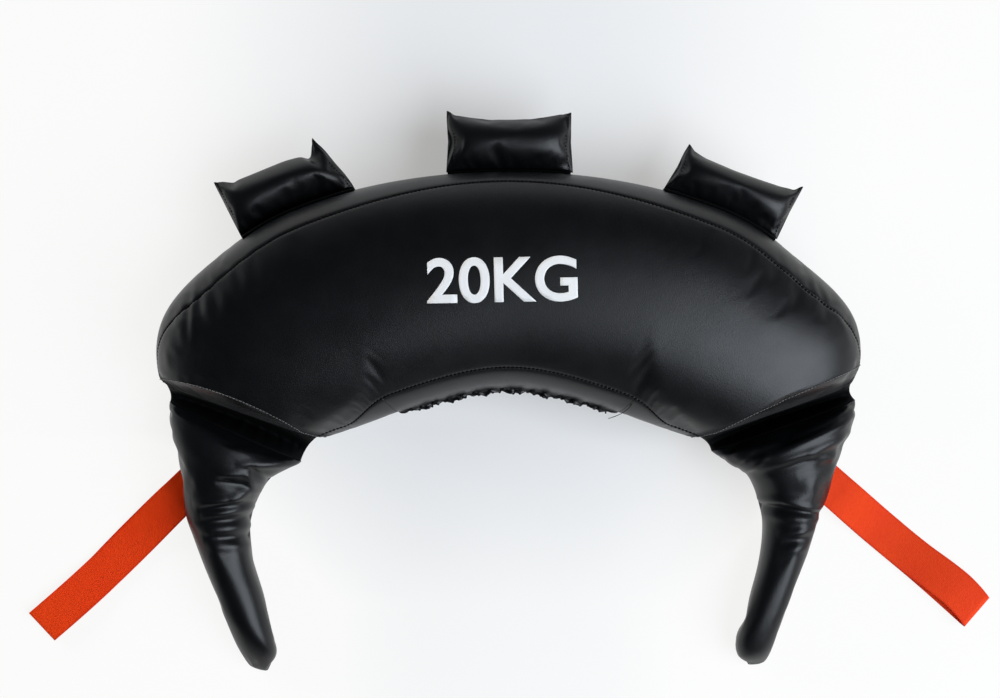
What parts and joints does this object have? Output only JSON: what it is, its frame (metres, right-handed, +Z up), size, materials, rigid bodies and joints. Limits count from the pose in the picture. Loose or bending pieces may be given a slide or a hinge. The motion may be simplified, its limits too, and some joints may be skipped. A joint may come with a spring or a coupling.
{
  "type": "bulgarian training bag",
  "caption": "Crescent-shaped weighted training bag in black leather, with tapered horn ends, stuffed grips on the outer rim and webbing swing loops",
  "frame": {"origin": "middle of the whole bag's footprint, on the floor that it lies on", "axes": "+X across the horns to the right, +Y from the horns to the rim with the grips, +Z up from the floor"},
  "size_m": [0.9943, 0.5656, 0.1594],
  "materials": {
    "black_leather": "semi-gloss coated leather with a fine grain",
    "black_thread": "bonded sewing thread",
    "grey_wadding": "loose fibre wadding",
    "sand_bag_cloth": "plain woven cloth filled with sand",
    "red_webbing": "flat woven polyester webbing"
  },
  "bodies": {
    "crescent": {"top_panel": "black_leather", "bottom_panel": "black_leather", "outer_gusset": "black_leather", "left_inner_gusset": "black_leather", "right_inner_gusset": "black_leather", "upper_closure_flap": "black_leather", "lower_closure_flap": "black_leather", "closure_lacing": "black_thread", "outer_top_seam": "black_thread", "inner_top_seam": "black_thread", "inner_bottom_seam": "black_thread", "outer_bottom_seam": "black_thread", "upper_wadding": "grey_wadding", "lower_wadding": "grey_wadding", "sand_bag_1": "sand_bag_cloth", "sand_bag_2": "sand_bag_cloth", "sand_bag_3": "sand_bag_cloth", "sand_bag_4": "sand_bag_cloth", "sand_bag_5": "sand_bag_cloth", "left_collar": "black_leather", "right_collar": "black_leather", "left_collar_stitching": "black_thread", "right_collar_stitching": "black_thread", "left_grip_base": "black_leather", "centre_grip_base": "black_leather", "right_grip_base": "black_leather"},
    "left_horn": {"left_horn_sleeve": "black_leather", "left_horn_stuffing": "grey_wadding", "left_horn_tip_stitching": "black_thread", "left_loop_tab": "red_webbing"},
    "right_horn": {"right_horn_sleeve": "black_leather", "right_horn_stuffing": "grey_wadding", "right_horn_tip_stitching": "black_thread", "right_loop_tab": "red_webbing"},
    "left_loop": {"left_webbing_loop": "red_webbing"},
    "right_loop": {"right_webbing_loop": "red_webbing"},
    "left_grip": {"left_grip_cover": "black_leather", "left_grip_stuffing": "grey_wadding"},
    "centre_grip": {"centre_grip_cover": "black_leather", "centre_grip_stuffing": "grey_wadding"},
    "right_grip": {"right_grip_cover": "black_leather", "right_grip_stuffing": "grey_wadding"}
  },
  "joints": [
    {"name": "left_horn_flex", "type": "hinge", "parent": "crescent", "child": "left_horn", "pos_m": [-0.27174, -0.02569, 0.06], "axis": [0, 0, 1], "range_deg": [-12, 12], "stiffness_Nm_per_rad": 6, "deforming": ["left_collar"]},
    {"name": "right_horn_flex", "type": "hinge", "parent": "crescent", "child": "right_horn", "pos_m": [0.27174, -0.02569, 0.06], "axis": [0, 0, 1], "range_deg": [-12, 12], "stiffness_Nm_per_rad": 6, "deforming": ["right_collar"]},
    {"name": "left_loop_swing", "type": "hinge", "parent": "left_horn", "child": "left_loop", "pos_m": [-0.33915, -0.10215, 0.016], "axis": [-0.6947, 0.7193, 0], "range_deg": [-60, 60]},
    {"name": "right_loop_swing", "type": "hinge", "parent": "right_horn", "child": "right_loop", "pos_m": [0.33971, -0.10153, 0.016], "axis": [-0.6561, -0.7547, 0], "range_deg": [-60, 60]},
    {"name": "left_grip_flap", "type": "hinge", "parent": "crescent", "child": "left_grip", "pos_m": [-0.20995, 0.18934, 0.07562], "axis": [0.9336, 0.3582, 0], "range_deg": [-35, 35], "stiffness_Nm_per_rad": 0.8},
    {"name": "centre_grip_flap", "type": "hinge", "parent": "crescent", "child": "centre_grip", "pos_m": [0, 0.22525, 0.078], "axis": [1, 0, 0], "range_deg": [-35, 35], "stiffness_Nm_per_rad": 0.8},
    {"name": "right_grip_flap", "type": "hinge", "parent": "crescent", "child": "right_grip", "pos_m": [0.20995, 0.18934, 0.07562], "axis": [0.9336, -0.3582, 0], "range_deg": [-35, 35], "stiffness_Nm_per_rad": 0.8}
  ]
}
